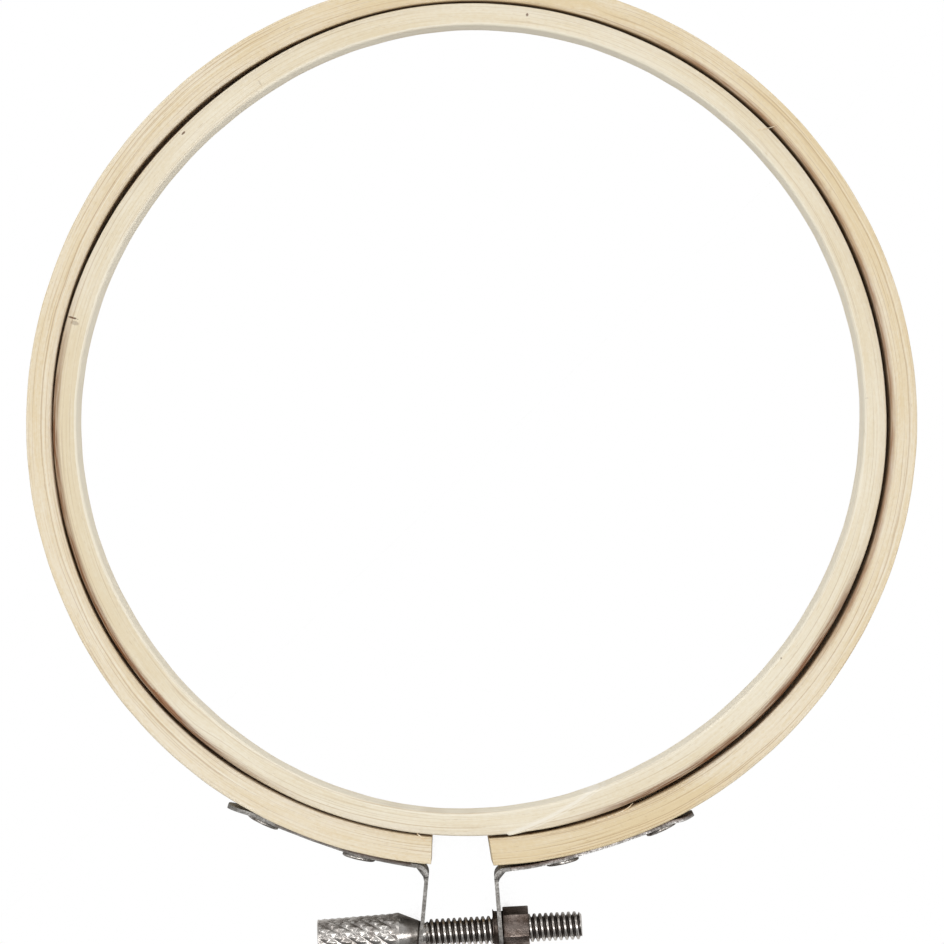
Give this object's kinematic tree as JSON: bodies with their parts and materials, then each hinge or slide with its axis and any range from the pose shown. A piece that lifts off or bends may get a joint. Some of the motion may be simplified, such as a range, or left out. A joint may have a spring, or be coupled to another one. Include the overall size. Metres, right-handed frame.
{
  "type": "embroidery hoop",
  "caption": "Round bamboo embroidery hoop: a closed inner ring inside a split outer ring that a knurled screw draws together.",
  "frame": {"origin": "under the middle of the whole hoop, screw included, on the surface that it lies on", "axes": "+Z is the ring axis, up from the surface; -Y is the side of the split and the screw; the screw's knurled head is on -X"},
  "size_m": [0.1232, 0.1366, 0.008],
  "materials": {
    "outer_bamboo": "sanded, unvarnished",
    "inner_bamboo": "sanded, unvarnished",
    "plated_sheet": "dull plated",
    "rivet_steel": "plated",
    "nickel_screw": "bright nickel",
    "nickel_nut": "dark nickel"
  },
  "bodies": {
    "outer_left": {"outer_ring_left": "outer_bamboo", "bracket_left": "plated_sheet", "rivet_left_near": "rivet_steel", "rivet_left_far": "rivet_steel"},
    "outer_right": {"outer_ring_right": "outer_bamboo", "bracket_right": "plated_sheet", "rivet_right_near": "rivet_steel", "rivet_right_far": "rivet_steel", "clamp_nut": "nickel_nut"},
    "inner": {"inner_ring": "inner_bamboo"},
    "screw": {"clamp_screw": "nickel_screw"}
  },
  "joints": [
    {"name": "screw_turn", "type": "hinge", "parent": "outer_left", "child": "screw", "pos_m": [-0.00449, -0.06439, 0.004], "axis": [-0.997, -0.0776, 0], "range_deg": [-540, 2880]},
    {"name": "ring_flex", "type": "hinge", "parent": "outer_left", "child": "outer_right", "pos_m": [0, 0.06644, 0.004], "axis": [0, 0, 1], "range_deg": [-0.52, 2.8]},
    {"name": "inner_ring_lift", "type": "slide", "parent": "outer_left", "child": "inner", "axis": [0, 0, 1], "range_m": [0, 0.03]}
  ],
  "couplings": [
    {"joint": "screw_turn", "follows": "ring_flex", "ratio": 1029.4}
  ]
}
